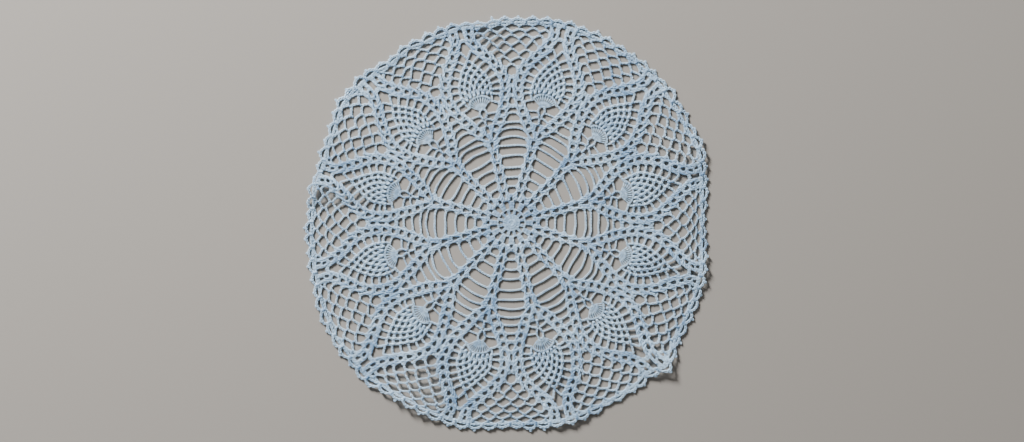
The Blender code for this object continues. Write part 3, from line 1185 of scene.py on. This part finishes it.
@dataclass(frozen=True)
class DiamondNet:
    """The net of chain arches that widens from a ladder's end to the rim."""

    column: ShellColumn
    # Radius of each row's knots, from one arch to seven, and of the edge.
    radii: tuple[float, ...] = (152.4, 161.2, 169.6, 177.6, 184.9, 191.4, 197.3, 202.4)
    pitch: float = 14.0
    joined_at: int = 18
    # A knot: how far it reaches in and out, and over the arches that leave it; girth and heights.
    knot_low: float = 1.0
    knot_high: float = 1.1
    knot_over: float = 0.4
    knot: tuple[float, float, float] = (1.1, 0.7, 0.7)
    # An arch: how far its shoulders lie to its feet, and how far its crown is pulled to each.
    shoulder: float = 0.2
    pull: float = 0.03
    arch: Gauge = Gauge(1.12, 0.75)
    brace: float = 0.9
    # How far an arch wanders out or in, in chart squares, and sideways, in degrees.
    slack: float = 0.72
    lean: float = 0.3

    def knots(self, number: int) -> list[tuple[float, float]]:
        """Spaces the knots of a row; its first and last ones are the columns' own.

        Args:
            number: the row.

        Returns:
            Each knot's radius and its degrees off the ladder's axis.
        """
        radius, arches = self.radii[number], number + 1
        angles = [(k - 0.5 * arches) * self.pitch / radius for k in range(arches + 1)]
        return [(radius, math.degrees(angle)) for angle in angles]

    def work(self, sector: Sector) -> None:
        """Works one net, row by row, between the columns on both sides of a ladder's axis.

        Args:
            sector: the one that is worked.
        """
        ladder, draw = sector.axis(0.0), sector.draw
        for row, following in enumerate(self.radii[1:]):
            places = self.knots(row)
            feet = [ladder.polar(radius + self.knot_high, angle) for radius, angle in places]
            ends = [
                self.column.joint(self.joined_at + row, True, pine) for pine in sector.neighbours()
            ]
            feet[0], feet[-1] = (tuple(place) for place, _ in ends)
            for radius, angle in places[1:-1]:
                foot = ladder.polar(radius - self.knot_low, angle)
                head = ladder.polar(radius + self.knot_high + self.knot_over, angle)
                sector.basket.post(foot, head, *self.knot)
            for k, (start, end) in enumerate(zip(feet, feet[1:])):
                angle = 0.5 * (places[k][1] + places[k + 1][1]) + draw.normal(0.0, self.lean)
                radius = following - self.knot_low + draw.normal(0.0, self.slack)
                peak = ladder.polar(radius, angle)
                sector.basket.chain([start, *self.shoulders(start, peak, end), end], *self.arch)
                for joint, outermost in zip(ends, (0, row)):
                    if k == outermost:
                        self.column.brace_end(sector.basket, joint, peak, self.brace)

    def shoulders(self, start: Spot, peak: Spot, end: Spot) -> Path:
        """Rounds the top of an arch with a shoulder on each side of its peak.

        Args:
            start: the arch's first foot.
            peak: its highest place.
            end: its other foot.

        Returns:
            The places between the feet.
        """
        sides = [between(peak, foot, self.shoulder, self.shoulder) for foot in (start, end)]
        crown = tuple(p + self.pull * (s + e - 2.0 * p) for s, p, e in zip(start, peak, end))
        return [sides[0], crown, sides[1]]


@dataclass(frozen=True)
class PicotEdge:
    """The last rounds: a close ring, then a scallop and a picot for each of eight places in a sector."""

    scallops: int = 96
    ring_radius: float = 201.6
    ring: Gauge = Gauge(1.3, 0.85)
    # The post between two scallops: how far it reaches in and out, and its girth.
    knot_radius: float = 202.9
    knot_in: float = 1.6
    knot_out: float = 1.0
    knot_girth: float = 1.3
    # One side of a scallop, from beside its first knot to its middle.
    shoulder: Path = ((5.2, 204.7), (2.9, 205.9))
    scallop_radius: float = 206.3
    scallop: Gauge = Gauge(1.45, 0.95)
    # A picot: its tip, half its width, and its two heights over the scallop.
    tip_radius: float = 208.4
    picot_half: float = 1.2
    picot_foot: float = 0.3
    picot_side: float = 1.1
    picot: Gauge = Gauge(0.9, 0.85)
    # How far a scallop wanders out or in and to the side, and its picot's tip out or in.
    slack: float = 0.6
    lean: float = 0.7
    tip_slack: float = 0.5

    def work(self, sector: Sector) -> None:
        """Works the edge of one sector.

        Args:
            sector: the one that is worked.
        """
        basket, draw, pitch = sector.basket, sector.draw, FULL_TURN / self.scallops
        for k in range(self.scallops // SECTORS):
            angle = (sector.number - 0.5) * SECTOR_TURN + k * pitch
            turns = (angle, angle + 0.5 * pitch, angle + pitch)
            start, middle, end = (Axis(turn, basket) for turn in turns)
            basket.chain([axis.at(0.0, self.ring_radius) for axis in (start, middle, end)], *self.ring)
            foot, head = self.ring_radius - self.knot_in, self.knot_radius + self.knot_out
            start.post((0.0, foot), (0.0, head), self.knot_girth)
            rise, lean = draw.normal(0.0, self.slack), draw.normal(0.0, self.lean)
            half = [(0.0, self.scallop_radius), *reversed(self.shoulder)]
            arch = [middle.at(lean + across, outward + rise) for across, outward in both_sides(half)[::-1]]
            knots = [axis.at(0.0, self.knot_radius) for axis in (start, end)]
            basket.chain([knots[0], *arch, knots[1]], *self.scallop)
            low = self.scallop_radius + self.picot_foot + rise
            tip = (lean, self.tip_radius + rise + draw.normal(0.0, self.tip_slack))
            for side in (lean - self.picot_half, lean + self.picot_half):
                middle.chain([(side, low), (side, low + self.picot_side), tip], *self.picot)


# Finish and studio


Socket = bpy.types.NodeSocket
Feeds = dict[str | int, Socket | float | Colour]


@dataclass(frozen=True)
class NodeBench:
    """Adds shader nodes to one material."""

    tree: bpy.types.NodeTree

    def add(self, kind: str, inputs: Feeds, output: str | int = 0) -> Socket:
        """Adds one node.

        Args:
            kind: its type, without "ShaderNode".
            inputs: for each input, another node's output or a plain value.
            output: the output that is wanted.

        Returns:
            That output.
        """
        node = self.tree.nodes.new("ShaderNode" + kind)
        self.feed(node, inputs)
        return node.outputs[output]

    def feed(self, node: bpy.types.Node, inputs: Feeds) -> None:
        """Links or sets inputs of a node.

        Args:
            node: the node.
            inputs: for each input, another node's output or a plain value.
        """
        for name, value in inputs.items():
            if isinstance(value, Socket):
                self.tree.links.new(value, node.inputs[name])
            else:
                node.inputs[name].default_value = value

    def maths(self, operation: str, *inputs: Socket | float) -> Socket:
        """Adds one step of arithmetic.

        Args:
            operation: what it does.
            inputs: other nodes' outputs or plain values.

        Returns:
            Its output.
        """
        value = self.add("Math", dict(enumerate(inputs)))
        value.node.operation = operation
        return value


@dataclass(frozen=True)
class CottonThread:
    """Mercerised cotton, pale blue grey: plied, softly sheened, a little uneven from stitch to stitch."""

    name: str = "cotton_thread"
    pale: Colour = (0.57, 0.77, 0.96, 1.0)
    deep: Colour = (0.21, 0.38, 0.61, 1.0)
    # Where between 0 and 1 the tone is fully deep and fully pale, and the stitches' share in it.
    deep_at: float = 0.38
    pale_at: float = 0.92
    stitch_share: float = 0.42
    # Scale and detail of the wide patches and of the fibres.
    patches: tuple[float, float] = (32.0, 3.0)
    fibres: tuple[float, float] = (5200.0, 2.0)
    roughness: float = 0.72
    specular: float = 0.35
    sheen: float = 0.25
    sheen_roughness: float = 0.4
    sheen_tint: Colour = (0.9, 0.95, 1.0, 1.0)
    # The plies: how often they wind round a stitch's thread, how many there are, and their share in
    # the relief; then the relief's strength and its depth in metres.
    ply_turns: float = 9.0
    plies: float = 2.0
    ply_share: float = 0.5
    relief: float = 0.6
    ply_depth: float = 0.00007
    # Painted shade in the groove between two plies: up to which height it reaches, and how pale the colour
    # is painted at the groove's bottom.
    groove_top: float = 0.2
    groove_shade: float = 0.82

    def make(self) -> bpy.types.Material:
        """Builds the material's nodes.

        Returns:
            The material.
        """
        material = bpy.data.materials.new(self.name)
        material.use_nodes = True
        bench = NodeBench(material.node_tree)
        place = bench.add("TexCoord", {}, "Object")
        ridge = self.make_ridge(bench)
        noise = {"Vector": place, "Scale": self.fibres[0], "Detail": self.fibres[1]}
        fibres = bench.add("TexNoise", noise, "Fac")
        height = bench.maths("MULTIPLY_ADD", ridge, self.ply_share, fibres)
        bump = {"Strength": self.relief, "Distance": self.ply_depth, "Height": height}
        # Painted shade: the colour is darkened in the grooves between plies.
        painted_groove_shade = bench.add(
            "MapRange",
            {
                "Value": ridge,
                "From Min": -1.0,
                "From Max": self.groove_top,
                "To Min": self.groove_shade,
                "To Max": 1.0,
            },
            "Result",
        )
        shaded = bench.add("VectorMath", {"Vector": self.make_tone(bench, place)}, "Vector")
        shaded.node.operation = "SCALE"
        bench.feed(shaded.node, {"Scale": painted_groove_shade})
        finish = {
            "Base Color": shaded,
            "Roughness": self.roughness,
            "Specular IOR Level": self.specular,
            "Sheen Weight": self.sheen,
            "Sheen Roughness": self.sheen_roughness,
            "Sheen Tint": self.sheen_tint,
            "Normal": bench.add("Bump", bump, "Normal"),
        }
        bench.feed(material.node_tree.nodes["Principled BSDF"], finish)
        return material

    def make_ridge(self, bench: NodeBench) -> Socket:
        """Builds the height of the plies, which wind round the thread.

        Args:
            bench: takes the nodes.

        Returns:
            The height, from -1 to 1.
        """
        turns = bench.add("UVMap", {}, "UV")
        turns.node.uv_map = THREAD_UV
        split = bench.add("SeparateXYZ", {"Vector": turns}).node.outputs
        along = bench.maths("MULTIPLY", split["X"], self.ply_turns)
        wound = bench.maths("MULTIPLY_ADD", split["Y"], self.plies, along)
        return bench.maths("SINE", bench.maths("MULTIPLY", wound, 2.0 * math.pi))

    def make_tone(self, bench: NodeBench, place: Socket) -> Socket:
        """Builds the cotton's colour: even in a stitch, uneven between stitches and in wide patches, with
        painted light by stitch kind.

        Args:
            bench: takes the nodes.
            place: the place on the piece.

        Returns:
            The colour.
        """
        stitch = bench.add("Attribute", {}, "Fac")
        stitch.node.attribute_name = STITCH_TONE_AND_PAINTED_LIGHT
        noise = {"Vector": place, "Scale": self.patches[0], "Detail": self.patches[1]}
        patches = bench.add("TexNoise", noise, "Fac")
        blend = bench.maths("MULTIPLY_ADD", stitch, self.stitch_share, patches)
        tone = bench.add("ValToRGB", {"Fac": blend}, "Color")
        ends = ((self.deep_at, self.deep), (self.pale_at, self.pale))
        for stop, (position, colour) in zip(tone.node.color_ramp.elements, ends):
            stop.position, stop.color = position, colour
        return tone


@dataclass(frozen=True)
class Studio:
    """A plain pale floor, soft light from low on every side and a camera straight above."""

    image_width: int = 1024
    image_height: int = 442
    pattern_pixel: tuple[float, float] = (511.5, 222.8)
    pixel: float = 0.00075
    lens: float = 60.0
    sensor: float = 36.0
    clip_start: float = 0.01
    floor_size: float = 6.0
    floor_colour: Colour = (0.33, 0.305, 0.275, 1.0)
    floor_roughness: float = 0.9
    # Direction and elevation in degrees, power in watts and size in metres of each lamp.
    lamps: tuple[tuple[float, float, float, float], ...] = (
        (125.0, 25.0, 150.0, 0.6),
        (35.0, 22.0, 8.0, 1.2),
        (215.0, 22.0, 7.0, 1.2),
        (305.0, 22.0, 5.0, 1.2),
    )
    lamp_distance: float = 2.2
    sky: float = 0.05
    sky_colour: Colour = (1.0, 1.0, 1.0, 1.0)

    def make(self) -> None:
        """Builds the floor, the lamps, the sky and the camera."""
        self.make_floor()
        self.make_lamps()
        self.make_sky()
        self.make_camera()

    @staticmethod
    def put(name: str, data: bpy.types.ID) -> bpy.types.Object:
        """Puts a mesh, a lamp or a camera into the scene.

        Args:
            name: of the new object.
            data: what it holds.

        Returns:
            The object.
        """
        holder = bpy.data.objects.new(name, data)
        bpy.context.scene.collection.objects.link(holder)
        return holder

    def make_floor(self) -> None:
        """Builds the floor, just under the cloth."""
        shape = bmesh.new()
        bmesh.ops.create_grid(shape, x_segments=1, y_segments=1, size=0.5 * self.floor_size)
        mesh = bpy.data.meshes.new("floor")
        shape.to_mesh(mesh)
        shape.free()
        material = bpy.data.materials.new("pale_floor")
        material.use_nodes = True
        finish = {"Base Color": self.floor_colour, "Roughness": self.floor_roughness}
        nodes = material.node_tree.nodes
        NodeBench(material.node_tree).feed(nodes["Principled BSDF"], finish)
        mesh.materials.append(material)
        floor = self.put("floor", mesh)

    def make_lamps(self) -> None:
        """Builds the area lamps, turned to the cloth."""
        for number, (turn, elevation, power, size) in enumerate(self.lamps):
            lamp = bpy.data.lights.new(f"lamp_{number}", "AREA")
            lamp.shape, lamp.size, lamp.energy = "DISK", size, power
            holder = self.put(f"lamp_{number}", lamp)
            level, around = math.radians(elevation), math.radians(turn)
            out = (math.cos(level) * math.cos(around), math.cos(level) * math.sin(around))
            holder.location = self.lamp_distance * Vector((*out, math.sin(level)))
            holder.rotation_euler = (-holder.location).to_track_quat("-Z", "Y").to_euler()

    def make_sky(self) -> None:
        """Builds an even sky."""
        world = bpy.data.worlds.new("studio")
        world.use_nodes = True
        sky = {"Color": self.sky_colour, "Strength": self.sky}
        NodeBench(world.node_tree).feed(world.node_tree.nodes["Background"], sky)
        bpy.context.scene.world = world

    def make_camera(self) -> None:
        """Builds the camera straight above, with the pattern's middle on its pixel."""
        camera = bpy.data.cameras.new("camera")
        camera.lens, camera.sensor_width, camera.clip_start = self.lens, self.sensor, self.clip_start
        holder = self.put("camera", camera)
        height = self.image_width * self.pixel * self.lens / self.sensor
        right = self.pattern_pixel[0] - 0.5 * self.image_width
        below = self.pattern_pixel[1] - 0.5 * self.image_height
        holder.location = (-right * self.pixel, below * self.pixel, height)
        bpy.context.scene.camera = holder


# The whole doily


@dataclass(frozen=True)
class Doily:
    """The lace as seven meshes of thread: the middle, and six wedges of two sectors each."""

    kit: StitchKit = StitchKit()
    cloth: ClothLay = ClothLay()
    finish: CottonThread = CottonThread()
    column: ShellColumn = ShellColumn()
    sectors_in_wedge: int = 2
    wedge_side: float = 0.155
    wedge_share: float = 0.5236
    middle_seed: int = 100
    wedge_seed: int = 101
    sector_seed: int = 500

    def make(self) -> list[bpy.types.Object]:
        """Returns:
            The pieces, the middle first.
        """
        templates = {
            StitchKind.LINK: self.kit.link(),
            StitchKind.POST: self.kit.post(),
            StitchKind.KNOT: self.kit.knot(),
        }
        cotton = self.finish.make()
        middle = Basket()
        CentreMedallion().work(middle)
        pieces = [middle.join("centre_medallion", templates, self.cloth, self.middle_seed)]
        for wedge in range(SECTORS // self.sectors_in_wedge):
            basket, name, seed = Basket(), f"lace_wedge_{wedge + 1}", self.wedge_seed + wedge
            for step in range(self.sectors_in_wedge):
                self.work_sector(basket, wedge * self.sectors_in_wedge + step)
            pieces.append(basket.join(name, templates, self.cloth, seed))
        for piece in pieces:
            piece.data.materials.append(cotton)
            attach(piece, "root")
            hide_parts("doily")
        return pieces

    def work_sector(self, basket: Basket, number: int) -> None:
        """Works one sector: a ladder and its net, the column and pineapple after it, and the edge.

        Args:
            basket: takes the stitches.
            number: the sector.
        """
        sector = Sector(number, basket, np.random.default_rng(self.sector_seed + number))
        self.column.work(sector)
        LadderRungs(self.column).work(sector)
        Pineapple(self.column).work(sector)
        DiamondNet(self.column).work(sector)
        PicotEdge().work(sector)


def main() -> None:
    """Builds the studio and the doily."""
    logging.basicConfig(level=logging.INFO, format="%(message)s")
    Studio().make()
    for piece in Doily().make():
        LOG.info("made %s: %d faces", piece.name, len(piece.data.polygons))


if __name__ == "__main__":
    main()
